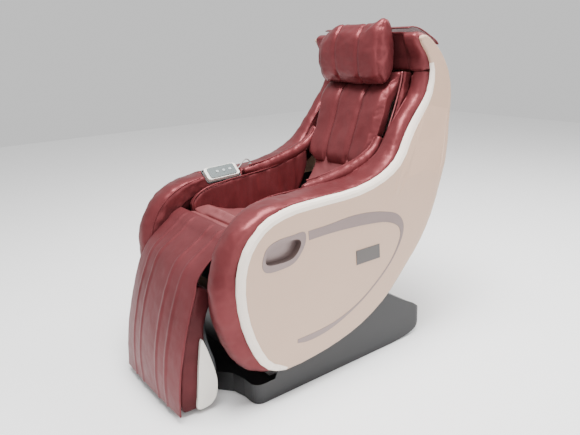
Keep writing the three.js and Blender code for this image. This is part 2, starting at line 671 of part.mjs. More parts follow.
function remoteFace() {
  const holes = BUTTONS.map(({ y }) => new THREE.Path().absarc(0, y, 6.4, 0, 2 * Math.PI, true));
  const z = REMOTE.thickness + GAP;
  return onRemote(roundedPlate(REMOTE.width - 8, REMOTE.length - 22, z, z + 3, 9, holes));
}

const remoteButton = (y) => onRemote(new THREE.CylinderGeometry(5.6, 6, 4, 20)
  .rotateX(Math.PI / 2).translate(0, y, REMOTE.thickness + 1.5 + 2));

const CORD_POINTS = [
  [-216.3, -30.6, 657], [-217, -24, 660], [-220, -12, 669], [-226, 5, 681], [-232, 20, 685],
  [-237, 34, 679], [-238, 40, 671], [-238, 40, 665.3]];
const CORD_RADIUS = 2.4;

function remoteCord() {
  const path = new THREE.CatmullRomCurve3(CORD_POINTS.map((p) => new THREE.Vector3(...p)));
  const section = new THREE.Shape().absarc(0, 0, CORD_RADIUS, 0, 2 * Math.PI, false);
  return new THREE.ExtrudeGeometry(section, {
    steps: 10, curveSegments: 4, bevelEnabled: false, extrudePath: path });
}

const GROMMET = { x: -238, y: 40, radius: 7, low: 652, high: 665 };
const grommetRod = (radius, low, high) => rod(
  [GROMMET.x, GROMMET.y, low], [GROMMET.x, GROMMET.y, high], radius, 16);

function cutForRemote(body) {
  const cordRoom = 18;
  const pocket = roundedPlate(
    REMOTE.width + 5 + 2 * CRADLE_WALL, REMOTE.length + 5 + 2 * CRADLE_WALL + cordRoom,
    -CRADLE_WALL - 1, 60, 10).translate(0, cordRoom / 2, 0);
  return body.subtract(solid(onRemote(pocket)))
    .subtract(solid(grommetRod(GROMMET.radius + GAP, GROMMET.low - GAP, 720)));
}

// ---------------------------------------------------------------- assembly
add("base_frame", baseFrame(), DARK_STEEL);
add("base_cover", baseCover(), BLACK);
add("rear_ledge", rearLedge(), GREY);
[["front", -225], ["rear", 290]].forEach(([end, y]) => {
  addPair(`foot_${end}`, foot(235, y), RUBBER);
});
addPair("transport_wheel", transportWheel(), RUBBER);
add("power_inlet", box(-151.5, -118.5, 432, 456, 46.5, 73.5), BLACK);
add("power_switch", box(-105, -85, 443, 456, 52, 68), BLACK);
add("control_box", box(-140, -15, 135, 255, 42 + GAP, 104), BLACK);
add("air_pump", box(20, 140, 140, 250, 42 + GAP, 114), DARK_STEEL);
add("recline_actuator", reclineActuator(), BLACK);
add("recline_rod", reclineRod(), STEEL);

add("seat_frame", seatFrame(), DARK_STEEL);
addPair("side_shell", sideShell(), IVORY);
addPair("side_trim", slab(trimOutline(0), SHELL_X - INLAY + GAP, SHELL_X + TRIM_PROUD), SILVER);
addPair("scoop", scoop(), SILVER);
addPair("badge_plate", badgePlate(), BADGE);
addPair("bolster", bolster(), LEATHER, cutForRemote);
add("head_cap", headCap(), LEATHER);
addPair("inner_wall", innerWall(), LEATHER, cutForRemote);
add("seat_pad", seatPad(), LEATHER_LIGHT);
add("seat_front_roll", seatFrontRoll(), LEATHER);
add("lumbar_pad", lumbarPad(), LEATHER_LIGHT);
add("back_pad", backPad(), LEATHER);
addPair("back_wing", narrow(solid(backWing())), LEATHER);
add("back_cover", backCover(), IVORY);

add("back_frame", backFrame(), DARK_STEEL);
add("lead_screw", leadScrew(), STEEL);
add("massage_carriage", carriage(), BLACK);
add("massage_motor", massageMotor(), STEEL);
addPair("kneading_roller", roller(), RUBBER);
add("pillow", pillow(), LEATHER);
add("pillow_strap", pillowStrap(), LEATHER);

add("remote_cradle", remoteCradle(), BLACK);
add("remote_body", remoteBody(), IVORY);
add("remote_face", remoteFace(), KEYPAD);
BUTTONS.forEach(({ name, y }) => add(`button_${name}`, remoteButton(y), GREY));
add("remote_cord", remoteCord(), KEYPAD);
add("cord_grommet", grommetRod(GROMMET.radius, GROMMET.low, GROMMET.high), KEYPAD);

add("legrest_frame", legrestFrame(), DARK_STEEL);
add("calf_rest", calfRest(), LEATHER);
addPair("leg_plate", legPlate(), IVORY);
add("front_flap", frontFlap(), LEATHER);
add("leg_actuator", legActuator(), BLACK);
add("leg_rod", legRod(), STEEL);

export default chair;
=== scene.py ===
"""Massage chair: fine surfaces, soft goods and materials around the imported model.

The tables are in the chair's own millimetres, which place() turns into metres:
+X is the sitter's left, -Y the front, +Z up.
"""
import json
import math

import bmesh
import bpy
import numpy as np
from mathutils import Matrix, Vector, noise


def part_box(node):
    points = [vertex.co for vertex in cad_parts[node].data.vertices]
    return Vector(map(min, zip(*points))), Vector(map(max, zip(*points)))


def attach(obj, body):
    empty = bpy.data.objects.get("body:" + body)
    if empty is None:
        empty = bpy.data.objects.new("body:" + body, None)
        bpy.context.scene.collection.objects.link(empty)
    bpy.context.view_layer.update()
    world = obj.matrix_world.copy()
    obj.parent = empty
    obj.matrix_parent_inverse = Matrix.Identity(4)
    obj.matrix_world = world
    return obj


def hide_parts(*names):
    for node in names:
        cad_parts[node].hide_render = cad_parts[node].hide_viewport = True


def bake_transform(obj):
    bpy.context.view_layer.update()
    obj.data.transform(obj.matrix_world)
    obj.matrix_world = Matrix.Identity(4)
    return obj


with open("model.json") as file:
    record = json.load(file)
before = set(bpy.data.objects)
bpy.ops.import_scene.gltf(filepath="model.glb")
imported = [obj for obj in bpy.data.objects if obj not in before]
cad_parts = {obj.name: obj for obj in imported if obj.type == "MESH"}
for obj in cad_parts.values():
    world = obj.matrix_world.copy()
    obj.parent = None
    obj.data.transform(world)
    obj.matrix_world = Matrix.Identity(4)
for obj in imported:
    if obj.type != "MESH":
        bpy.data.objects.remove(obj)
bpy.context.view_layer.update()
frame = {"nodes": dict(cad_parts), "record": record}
nodes = frame["nodes"]

# ---------------------------------------------------------------- driving dimensions, mm
CENTRE_Y = -34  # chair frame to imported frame
BOLSTER_X = 310
HEAD_NARROWING = 0.092
NARROW_FROM, NARROW_TO = 640, 860
CAP_FLOOR = 1003
LEG = (-270, 480)
SEAT_HALF = 163
BACK_HALF = 193
FLAP_HALF = 208
STRAP_HALF = 228

# Rim of the side shell from the head to the foot: y, z, then the bolster beside it:
# its height over the rim, its inner x and its depth behind the rim.
RIM = [
    (483, 1006, 24, 236, 45), (464, 928, 26, 236, 45), (408, 860, 26, 236, 45),
    (355, 800, 24, 232, 45), (293, 724, 18, 222, 45), (216, 682, 13, 208, 45),
    (102, 655, 12, 200, 45), (-48, 650, 12, 200, 45), (-178, 643, 15, 200, 45),
    (-268, 614, 26, 206, 45), (-333, 551, 42, 214, 45), (-365, 467, 52, 216, 45),
    (-367, 354, 56, 216, 45), (-338, 236, 52, 216, 45), (-288, 144, 36, 216, 45),
    (-225, 110, 24, 216, 45),
]
FLAP_FACE = [
    (-360, 517), (-418, 459), (-454, 385), (-481, 308), (-498, 250), (-513, 190),
    (-527, 107), (-534, 24),
]
FLAP_SEAMS = (-125, -62, 62, 125)
CAP_OVER = [(432, 1136), (474, 1127), (524, 1082), (557, 1022), (564, 1004), (512, 1004)]
CAP_ENDS = [(459, 1004), (450, 1050), (417, 1100), (410, 1124)] + CAP_OVER
CAP_MIDDLE = [(470, 1004), (462, 1050), (450, 1096), (440, 1122)] + CAP_OVER
STRAP = [(430, 1149), (450, 1153), (490, 1146), (540, 1123), (578, 1102), (590, 1090)]
WING = [(344, 762), (366, 802), (404, 880), (432, 960), (440, 999)]
# Inner roll of each arm, then the piped top edge of the cushion below it: y, z.
INNER_ROLL = [(332, 775), (296, 730), (240, 700), (160, 677), (70, 660), (-20, 652)]
WALL_TOP = [
    (-249, 540), (-247, 574), (-229, 599), (-188, 619), (-90, 634), (8, 642), (110, 654),
    (205, 678), (268, 701),
]
CORD_POINTS = [
    (-216.3, -30.6, 657), (-217, -24, 660), (-220, -12, 669), (-226, 5, 681),
    (-232, 20, 685), (-237, 34, 679), (-238, 40, 671), (-238, 40, 665.3),
]
CORD_RADIUS = 2.4
PIPING_RADIUS = 0.0028
BACK_SEAM, PILLOW_SEAM, PILLOW_END_SEAM = 0.065, 0.062, 0.160  # seams' |x|, m
PRESSURE, CLOTH_FRAMES = 4.0, 20


def place(points):
    """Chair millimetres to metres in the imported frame."""
    p = np.asarray(points, float)
    return (p + np.array([0.0, CENTRE_Y, 0.0])) / 1000


def smoothstep(value, low, high):
    t = np.clip((np.asarray(value, float) - low) / (high - low), 0, 1)
    return t * t * (3 - 2 * t)


def narrow(points):
    """Draws the upper body in towards the head, as the solids are."""
    p = np.array(points, float)
    p[..., 0] *= 1 - HEAD_NARROWING * smoothstep(p[..., 2], NARROW_FROM, NARROW_TO)
    return p


# ---------------------------------------------------------------- camera
def make_camera():
    azimuth, pitch, roll = (math.radians(a) for a in (51.5362, 17.0129, -1.6802))
    ahead = Vector((-math.sin(azimuth) * math.cos(pitch),
                    math.cos(azimuth) * math.cos(pitch), -math.sin(pitch)))
    side = Vector((math.cos(azimuth), math.sin(azimuth), 0))
    up = side.cross(ahead)
    right = side * math.cos(roll) + up * math.sin(roll)
    top = up * math.cos(roll) - side * math.sin(roll)
    data = bpy.data.cameras.new("camera")
    data.sensor_width, data.lens = 36, 36.01
    data.shift_x, data.shift_y = -0.0591, -0.0031
    camera = bpy.data.objects.new("camera", data)
    matrix = Matrix((right, top, -ahead)).transposed().to_4x4()
    matrix.translation = Vector((1.684, -1.157, 1.123))
    camera.matrix_world = matrix
    bpy.context.scene.collection.objects.link(camera)
    bpy.context.scene.camera = camera


make_camera()


# ---------------------------------------------------------------- curves and meshes
def curve(points, count, closed=False, dims=2):
    """Centripetal Catmull-Rom line through the points; spacing uses the first dims columns."""
    knots = np.asarray(points, float)
    n = len(knots)
    if closed:
        ring = np.vstack([knots[-1:], knots, knots[:2]])
        spans = n
    else:
        ring = np.vstack([2 * knots[:1] - knots[1:2], knots, 2 * knots[-1:] - knots[-2:-1]])
        spans = n - 1
    fine = []
    for s in range(spans):
        p0, p1, p2, p3 = ring[s:s + 4]
        gaps = [max(np.linalg.norm(b[:dims] - a[:dims]) ** 0.5, 1e-4)
                for a, b in ((p0, p1), (p1, p2), (p2, p3))]
        t0, t1 = 0.0, gaps[0]
        t2, t3 = t1 + gaps[1], t1 + gaps[1] + gaps[2]
        t = np.linspace(t1, t2, 25)[:-1, None]
        a1 = (t1 - t) / (t1 - t0) * p0 + (t - t0) / (t1 - t0) * p1
        a2 = (t2 - t) / (t2 - t1) * p1 + (t - t1) / (t2 - t1) * p2
        a3 = (t3 - t) / (t3 - t2) * p2 + (t - t2) / (t3 - t2) * p3
        b1 = (t2 - t) / (t2 - t0) * a1 + (t - t0) / (t2 - t0) * a2
        b2 = (t3 - t) / (t3 - t1) * a2 + (t - t1) / (t3 - t1) * a3
        fine.append((t2 - t) / (t2 - t1) * b1 + (t - t1) / (t2 - t1) * b2)
    fine = np.vstack(fine + [knots[:1] if closed else knots[-1:]])
    length = np.r_[0, np.cumsum(np.linalg.norm(np.diff(fine[:, :dims], axis=0), axis=1))]
    steps = np.linspace(0, length[-1], count + 1 if closed else count)
    out = np.stack([np.interp(steps, length, column) for column in fine.T], 1)
    return out[:-1] if closed else out


def normals_2d(line):
    """Unit normals to the right of a line in the (y, z) plane."""
    along = np.gradient(line, axis=0)
    along /= np.linalg.norm(along, axis=1, keepdims=True)
    return np.stack([along[:, 1], -along[:, 0]], 1)


def side_points(line, x):
    """(y, z) pairs to (x, y, z) points; x is a number or one number each."""
    line = np.asarray(line, float)
    return np.column_stack([np.broadcast_to(x, len(line)), line[:, 0], line[:, 1]])


def to_object(name, vertices, faces):
    """Object from points in metres, with its faces turned outwards."""
    mesh = bpy.data.meshes.new(name)
    mesh.from_pydata([tuple(v) for v in vertices], [], faces)
    bm = bmesh.new()
    bm.from_mesh(mesh)
    bmesh.ops.remove_doubles(bm, verts=bm.verts, dist=1e-6)
    bmesh.ops.recalc_face_normals(bm, faces=bm.faces)
    bm.to_mesh(mesh)
    bm.free()
    mesh.shade_smooth()
    piece = bpy.data.objects.new(name, mesh)
    bpy.context.scene.collection.objects.link(piece)
    return piece


def skin(name, rows, wrap=True, ends=True):
    """Mesh over a grid of points in metres: wrap joins each row's ends, ends closes both ends."""
    rows = np.asarray(rows, float)
    count, size = rows.shape[:2]
    faces = []
    for r in range(count - 1):
        for c in range(size if wrap else size - 1):
            a, b = r * size + c, r * size + (c + 1) % size
            faces.append((a, b, b + size, a + size))
    vertices = rows.reshape(-1, 3)
    if ends:
        for start in (0, (count - 1) * size):
            tip = len(vertices)
            vertices = np.vstack([vertices, vertices[start:start + size].mean(0)])
            faces += [(start + c, start + (c + 1) % size, tip) for c in range(size)]
    return to_object(name, vertices, faces)


def tube(name, path, radius, sides):
    """Tube along points in metres; radius is a number or one number for each point."""
    path = np.asarray(path, float)
    radius = np.broadcast_to(radius, len(path))
    along = np.gradient(path, axis=0)
    along /= np.linalg.norm(along, axis=1, keepdims=True)
    side = np.cross(along[0], [0.31, 0.17, 0.93])
    rows = []
    for p, t, r in zip(path, along, radius):
        side = side - t * side.dot(t)
        side /= np.linalg.norm(side)
        other = np.cross(t, side)
        rows.append([p + r * (math.cos(a) * side + math.sin(a) * other)
                     for a in np.arange(sides) * 2 * math.pi / sides])
    return skin(name, rows)


def coordinates(piece):
    co = np.empty(len(piece.data.vertices) * 3)
    piece.data.vertices.foreach_get("co", co)
    return co.reshape(-1, 3)


def vertex_normals(piece):
    out = np.empty(len(piece.data.vertices) * 3)
    piece.data.vertex_normals.foreach_get("vector", out)
    return out.reshape(-1, 3)


def set_coordinates(piece, co):
    piece.data.vertices.foreach_set("co", co.astype(np.float32).ravel())
    piece.data.update()


def rumple(piece, height, size, seed=0.0, stretch=(1, 1, 1)):
    """Soft unevenness of leather over padding: height in metres over folds of this size."""
    co, normal = coordinates(piece), vertex_normals(piece)
    scale = np.array(stretch) / size
    shift = np.array([
        noise.fractal(Vector(tuple(p * scale + seed)), 0.7, 2.1, 3) for p in co])
    set_coordinates(piece, co + normal * (shift * height)[:, None])


def groove(piece, distance, depth, width):
    """Sinks a seam where distance(points) is near zero, along the surface normals."""
    co, normal = coordinates(piece), vertex_normals(piece)
    sink = depth * np.exp(-(distance(co) / width) ** 2)
    set_coordinates(piece, co - normal * sink[:, None])


def apply_modifiers(piece):
    bpy.context.view_layer.update()
    shown = piece.evaluated_get(bpy.context.evaluated_depsgraph_get())
    mesh = bpy.data.meshes.new_from_object(shown)
    piece.modifiers.clear()
    old, piece.data = piece.data, mesh
    bpy.data.meshes.remove(old)
    piece.data.shade_smooth()


def soft_copy(name, node, voxel=0.006, rounds=6):
    """A rounded copy of a plain CAD solid, remeshed evenly."""
    piece = bpy.data.objects.new(name, nodes[node].data.copy())
    piece.data.materials.clear()
    bpy.context.scene.collection.objects.link(piece)
    remesh = piece.modifiers.new("remesh", "REMESH")
    remesh.mode, remesh.voxel_size = "VOXEL", voxel
    soften = piece.modifiers.new("soften", "SMOOTH")
    soften.factor, soften.iterations = 0.5, rounds
    apply_modifiers(piece)
    return piece


def puff(piece, cap):
    """Fills the piece with cloth pressure; no point moves further than cap, in metres."""
    start = coordinates(piece)
    cloth = piece.modifiers.new("cloth", "CLOTH")
    cloth.settings.use_pressure = True
    cloth.settings.uniform_pressure_force = PRESSURE
    cloth.settings.quality = 5
    cloth.settings.mass = 0.3
    cloth.settings.tension_stiffness = cloth.settings.compression_stiffness = 15
    cloth.settings.bending_stiffness = 0.5
    cloth.settings.effector_weights.gravity = 0
    cloth.collision_settings.use_collision = False
    cloth.point_cache.frame_start, cloth.point_cache.frame_end = 1, CLOTH_FRAMES
    for step in range(1, CLOTH_FRAMES + 1):
        bpy.context.scene.frame_set(step)
    shown = piece.evaluated_get(bpy.context.evaluated_depsgraph_get())
    moved = np.empty(len(start) * 3)
    shown.data.vertices.foreach_get("co", moved)
    move = moved.reshape(-1, 3) - start
    size = np.linalg.norm(move, axis=1, keepdims=True)
    move *= np.minimum(1, cap / np.maximum(size, 1e-9))
    piece.modifiers.clear()
    set_coordinates(piece, start + move)
    bpy.context.scene.frame_set(1)


def subdivide(piece):
    modifier = piece.modifiers.new("subdivision", "SUBSURF")
    modifier.levels = modifier.render_levels = 1
    apply_modifiers(piece)


def settle(piece, body, slot, replaces=(), material=None):
    """Gives a finished piece its material (the slot's, unless another is named), parents it to
    its body and hides the CAD nodes it stands for.
    """
    piece.data.materials.clear()
    piece.data.materials.append(MATERIALS[material or slot])
    if body:
        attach(piece, body)
    if replaces:
        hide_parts(*replaces)


def along_with(parent, piece, material):
    """A detail such as piping that goes with a piece."""
    piece.data.materials.clear()
    piece.data.materials.append(MATERIALS[material])
    piece.parent = parent


# ---------------------------------------------------------------- materials
MATERIALS = {}


def new_material(name, color, roughness, metallic=0.0, coat=0.0, coat_roughness=0.1):
    material = bpy.data.materials.new(name)
    material.use_nodes = True
    shader = material.node_tree.nodes["Principled BSDF"]
    shader.inputs["Base Color"].default_value = (*color, 1)
    shader.inputs["Roughness"].default_value = roughness
    shader.inputs["Metallic"].default_value = metallic
    shader.inputs["Coat Weight"].default_value = coat
    shader.inputs["Coat Roughness"].default_value = coat_roughness
    MATERIALS[name] = material
    return material.node_tree, shader


def add_node(tree, kind, **inputs):
    node = tree.nodes.new(kind)
    for key, value in inputs.items():
        node.inputs[key.replace("_", " ")].default_value = value
    return node


def object_noise(tree, scale, detail=4.0, roughness=0.6):
    where = tree.nodes.new("ShaderNodeTexCoord")
    node = add_node(tree, "ShaderNodeTexNoise", Scale=scale, Detail=detail, Roughness=roughness)
    tree.links.new(where.outputs["Object"], node.inputs["Vector"])
    return node


def vary_color(tree, shader, dark, light, scale, detail=4.0):
    """Base colour that drifts between two tones."""
    source = object_noise(tree, scale, detail)
    ramp = tree.nodes.new("ShaderNodeValToRGB")
    ramp.color_ramp.elements[0].position, ramp.color_ramp.elements[1].position = 0.3, 0.72
    ramp.color_ramp.elements[0].color = (*dark, 1)
    ramp.color_ramp.elements[1].color = (*light, 1)
    tree.links.new(source.outputs["Fac"], ramp.inputs["Fac"])
    tree.links.new(ramp.outputs["Color"], shader.inputs["Base Color"])


def vary_roughness(tree, shader, low, high, scale):
    source = object_noise(tree, scale)
    spread = add_node(tree, "ShaderNodeMapRange")
    spread.inputs["To Min"].default_value, spread.inputs["To Max"].default_value = low, high
    tree.links.new(source.outputs["Fac"], spread.inputs["Value"])
    tree.links.new(spread.outputs["Result"], shader.inputs["Roughness"])


def bump(tree, shader, heights):
    """Chains bump layers of (height output, strength, distance in metres)."""
    previous = None
    for height, strength, distance in heights:
        node = add_node(tree, "ShaderNodeBump", Strength=strength, Distance=distance)
        tree.links.new(height, node.inputs["Height"])
        if previous:
            tree.links.new(previous.outputs["Normal"], node.inputs["Normal"])
        previous = node
    tree.links.new(previous.outputs["Normal"], shader.inputs["Normal"])


def leather(name, dark, light, roughness=(0.34, 0.46), metallic=0.5):
    """Pearly synthetic leather: pebbled grain, soft creases, a little colour drift."""
    tree, shader = new_material(name, light, roughness[0], metallic)
    shader.inputs["Specular IOR Level"].default_value = 0.2
    vary_color(tree, shader, dark, light, 7)
    vary_roughness(tree, shader, *roughness, 24)
    where = tree.nodes.new("ShaderNodeTexCoord")
    grain = add_node(tree, "ShaderNodeTexVoronoi", Scale=620.0)
    grain.feature = "SMOOTH_F1"
    tree.links.new(where.outputs["Object"], grain.inputs["Vector"])
    creases = object_noise(tree, 34, 5, 0.55)
    bump(tree, shader, [(creases.outputs["Fac"], 0.22, 0.004),
                        (grain.outputs["Distance"], 0.16, 0.0004)])


def moulded(name, color, roughness, coat, texture=900.0, depth=0.00012):
    """Moulded plastic with a faint texture and slight tone drift."""
    tree, shader = new_material(name, color, roughness, 0, coat, 0.12)
    dark = tuple(c * 0.96 for c in color)
    vary_color(tree, shader, dark, color, 3.2)
    vary_roughness(tree, shader, max(roughness - 0.05, 0.05), roughness + 0.06, 9)
    fine = object_noise(tree, texture, 2)
    waves = object_noise(tree, 6, 1)
    bump(tree, shader, [(waves.outputs["Fac"], 0.05, 0.003),
                        (fine.outputs["Fac"], 0.12, depth)])


def metal(name, color, roughness, flecks=False):
    tree, shader = new_material(name, color, roughness, 0.85, 0.1, 0.2)
    vary_roughness(tree, shader, roughness * 0.8, roughness * 1.25, 40)
    fine = object_noise(tree, 1400 if flecks else 260, 2)
    bump(tree, shader, [(fine.outputs["Fac"], 0.1, 0.00015)])


def make_materials():
    leather("burgundy_leather", (0.118, 0.023, 0.026), (0.168, 0.038, 0.042))
    # a lighter copy of the burgundy leather: painted light on the top-lit seat, lumbar and lapel
    # piping
    leather("seat_leather", (0.230, 0.066, 0.070), (0.320, 0.102, 0.108))
    leather("flap_leather", (0.120, 0.025, 0.028), (0.165, 0.039, 0.044), (0.38, 0.5))
    # a darker copy of the burgundy leather: painted shade for the calf rest behind the flap and
    # the linings in the gaps
    leather("painted_shade_leather", (0.060, 0.011, 0.013), (0.095, 0.018, 0.021), (0.4, 0.5), 0.4)
    moulded("ivory_shell", (0.515, 0.345, 0.250), 0.32, 0.2)
    # a paler copy of the shell colour: painted highlight for the rolled rims of the side shells
    moulded("painted_rim_highlight", (0.84, 0.74, 0.65), 0.28, 0.3)
    moulded("remote_ivory", (0.74, 0.70, 0.64), 0.25, 0.3)
    moulded("base_plastic", (0.008, 0.008, 0.009), 0.42, 0.05, texture=1100.0, depth=0.0003)
    # a lighter grey copy of the black base plastic: painted light on the lit top of the base
    moulded("grey_plastic", (0.060, 0.060, 0.064), 0.45, 0.05, texture=1100.0, depth=0.0003)
    moulded("drive_plastic", (0.020, 0.021, 0.023), 0.5, 0.0)
    moulded("badge", (0.060, 0.050, 0.047), 0.3, 0.3)
    moulded("keypad", (0.085, 0.105, 0.105), 0.4, 0.1)
    moulded("button_grey", (0.34, 0.37, 0.37), 0.45, 0.1)
    moulded("rubber", (0.012, 0.012, 0.013), 0.8, 0.0, texture=500.0, depth=0.0004)
    moulded("cord_grey", (0.30, 0.29, 0.28), 0.5, 0.0)
    metal("silver_trim", (0.245, 0.190, 0.182), 0.4, True)
    metal("frame_steel", (0.045, 0.047, 0.05), 0.42)
    metal("bright_steel", (0.42, 0.43, 0.44), 0.28)


make_materials()


# ---------------------------------------------------------------- cord
def make_cord():
    path = place(curve(CORD_POINTS, 32, dims=3))
    piece = tube("remote_lead", path, CORD_RADIUS / 1000, 14)
    settle(piece, None, "cord_grey", ["remote_cord"])
    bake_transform(piece)


make_cord()


# ---------------------------------------------------------------- soft pieces made from the CAD
def piping(parent, name, points, material="burgundy_leather"):
    """Cord piping through (x, y, z) points in mm."""
    path = place(curve(points, max(24, len(points) * 6), dims=3))
    along_with(parent, tube(name, path, PIPING_RADIUS, 8), material)


def make_seat():
    # the seat, front roll and lumbar take the lighter leather as painted light from above
    seat = soft_copy("seat_cushion", "seat_pad", 0.006, 5)
    puff(seat, 0.012)
    rumple(seat, 0.0035, 0.16, 3.0, (1, 1, 2))
    subdivide(seat)
    settle(seat, "body", "seat_leather", ["seat_pad"])

    front = soft_copy("seat_front", "seat_front_roll", 0.006, 4)
    subdivide(front)
    settle(front, "body", "seat_leather", ["seat_front_roll"])

    lumbar = soft_copy("lumbar_cushion", "lumbar_pad", 0.006, 5)
    puff(lumbar, 0.012)
    rumple(lumbar, 0.0035, 0.14, 9.0)
    subdivide(lumbar)
    settle(lumbar, "body", "seat_leather", ["lumbar_pad"])


def make_back():
    back = soft_copy("back_cushion", "back_pad", 0.006, 4)
    co = coordinates(back)
    low = 1 - smoothstep(co[:, 2], 0.69, 0.80)
    co += low[:, None] * np.array([0, -0.030, -0.048])
    corner = low * smoothstep(np.abs(co[:, 0]), 0.11, 0.19)
    co[:, 2] += corner * 0.030
    co[:, 0] *= 1 - 0.10 * corner
    set_coordinates(back, co)
    groove(back, lambda p: np.abs(p[:, 0]) - BACK_SEAM, 0.007, 0.012)
    puff(back, 0.012)
    rumple(back, 0.0035, 0.13, 5.0)
    groove(back, lambda p: np.abs(p[:, 0]) - BACK_SEAM, 0.004, 0.005)
    subdivide(back)
    settle(back, "body", "burgundy_leather", ["back_pad"])
    for side, hand in ((1, "left"), (-1, "right")):
        wing = soft_copy(f"lapel_{hand}", f"back_wing_{hand}", 0.004, 3)
        rumple(wing, 0.004, 0.07, 11.0 + side)
        subdivide(wing)
        settle(wing, "body", "burgundy_leather", [f"back_wing_{hand}"])
        edge = side_points(np.array(WING) + (-3, 2), side * (BACK_HALF + 21))
        # the lapel piping takes the lighter leather as a painted highlight along the edge
        piping(wing, f"lapel_piping_{hand}", narrow(edge), "seat_leather")


def make_pillow():
    pillow = soft_copy("head_pillow", "pillow", 0.006, 3)
    co = coordinates(pillow)
    ear = smoothstep(np.abs(co[:, 0]), 0.085, 0.178) * smoothstep(co[:, 2], 1.05, 1.17)
    near = co[:, 0] > 0
    co[:, 2] += ear * np.where(near, 0.018, -0.034)
    co[:, 0] *= 1 + np.where(near, 0.045, 0.075) * smoothstep(np.abs(co[:, 0]), 0.1, 0.178)
    set_coordinates(pillow, co)
    groove(pillow, lambda p: np.abs(p[:, 0]) - PILLOW_SEAM, 0.003, 0.010)
    puff(pillow, 0.010)
    rumple(pillow, 0.004, 0.12, 21.0, (1, 1, 1.6))
    groove(pillow, lambda p: np.abs(p[:, 0]) - PILLOW_SEAM, 0.0025, 0.004)
    groove(pillow, lambda p: np.abs(p[:, 0]) - PILLOW_END_SEAM, 0.004, 0.004)
    subdivide(pillow)
    settle(pillow, "pillow", "burgundy_leather", ["pillow"])


def make_inner_walls():
    for side, hand in ((1, "left"), (-1, "right")):
        wall = soft_copy(f"side_cushion_{hand}", f"inner_wall_{hand}", 0.006, 4)
        rumple(wall, 0.004, 0.09, 31.0, (1, 2.2, 0.5))
        subdivide(wall)
        settle(wall, "body", "burgundy_leather", [f"inner_wall_{hand}"])
        piping(wall, f"side_piping_{hand}", side_points(WALL_TOP, side * (SEAT_HALF + 6)))


def make_calf_rest():
    rest = soft_copy("calf_cushion", "calf_rest", 0.006, 4)
    rumple(rest, 0.0025, 0.12, 41.0)
    subdivide(rest)
    # the calf rest takes the darker leather as painted shade behind the flap
    settle(rest, "legrest", "burgundy_leather", ["calf_rest"], "painted_shade_leather")


# ---------------------------------------------------------------- bolsters
# Section of a bolster as (share of the width from the outside in, share of the height).
SECTION = [
    (0, -1), (0, -0.5), (0, 0.05), (0.08, 0.55), (0.25, 0.9), (0.5, 1), (0.75, 0.92),
    (0.93, 0.62), (1, 0.15), (1, -0.3), (1, -1),
]
SECTION_POINTS = 48
PIPED = 31  # the section point that carries the piping, on the inner shoulder


def bolster_rows(side, along=260, top=CAP_FLOOR - 0.5):
    """Cross-sections of the roll that runs along the rim, foot to head, in mm."""
    line = curve(RIM, along)
    normal = normals_2d(line[:, :2].copy())
    keep = line[:, 1] <= top
    shape = curve(SECTION, SECTION_POINTS)
    fade = 0.15 + 0.85 * smoothstep(np.arange(along, 0, -1), 0, 22)
    rows = []
    for (y, z, height, inner, depth), (ny, nz), full in zip(line[keep], normal[keep], fade[keep]):
        across = BOLSTER_X + (inner - BOLSTER_X) * shape[:, 0]
        rise = np.where(shape[:, 1] > 0, shape[:, 1] * height, shape[:, 1] * depth) * full
        rows.append(np.column_stack([side * across, y + ny * rise, z + nz * rise]))
    rows = np.array(rows)
    rows[..., 2] = np.minimum(rows[..., 2], top)
    return narrow(rows)


def make_bolsters():
    for side, hand in ((1, "left"), (-1, "right")):
        rows = bolster_rows(side)
        roll = skin(f"roll_{hand}", place(rows))
        rumple(roll, 0.0045, 0.11, 51.0 + side, (1, 1, 1))
        rumple(roll, 0.0014, 0.035, 61.0 + side, (1, 1, 1))
        if side < 0:
            clear_remote(roll)
        settle(roll, "body", "burgundy_leather", [f"bolster_{hand}"])
        ridge = rows[3:-16:5, PIPED]
        if side > 0:
            piping(roll, "roll_piping_left", ridge)
        else:
            piping(roll, "roll_piping_right_high", ridge[ridge[:, 1] > 10])
            piping(roll, "roll_piping_right_low", ridge[ridge[:, 1] < -185])
        lining(roll, side, hand)
        path = place(side_points(curve(INNER_ROLL, 60), side * 186))
        size = 0.004 + 0.019 * np.sin(np.linspace(0.12, 0.97, 60) * math.pi) ** 0.5
        inner = tube(f"arm_roll_{hand}", path, size, 24)
        rumple(inner, 0.002, 0.05, 91.0 + side, (1, 2, 1))
        along_with(roll, inner, "burgundy_leather")
        edge = curve(INNER_ROLL, 60)[3:-3:4] + (-5, 19)
        piping(roll, f"arm_piping_{hand}", side_points(edge, side * 178))


def lining(roll, side, hand):
    """Leather that closes the gap between the roll and the cushions inside it, in the darker
    leather as painted shade in that gap.
    """
    line = curve(RIM, 120)
    line = line[(line[:, 1] < 880) & (line[:, 1] > 300)]
    normal = normals_2d(line[:, :2].copy())
    rows = []
    for offset, inset in ((-26, 3), (-50, 3), (-80, 3), (-80, 6), (-50, 6), (-26, 6)):
        x = side * (line[:, 3] + inset)
        rows.append(np.column_stack([x, line[:, :2] + normal * offset]))
    sheet = skin(f"lining_{hand}", place(narrow(np.array(rows).transpose(1, 0, 2))))
    along_with(roll, sheet, "painted_shade_leather")


def clear_remote(roll):
    """Keeps the roll below the cradle that stands in it."""
    box = np.array(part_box("remote_cradle"))
    co = coordinates(roll)
    low, high = box[0] - 0.004, box[1] + 0.004
    inside = np.all((co[:, :2] > low[:2]) & (co[:, :2] < high[:2]), axis=1) & (co[:, 2] > 0.55)
    co[inside, 2] = np.minimum(co[inside, 2], box[0][2] + 0.004)
    set_coordinates(roll, co)


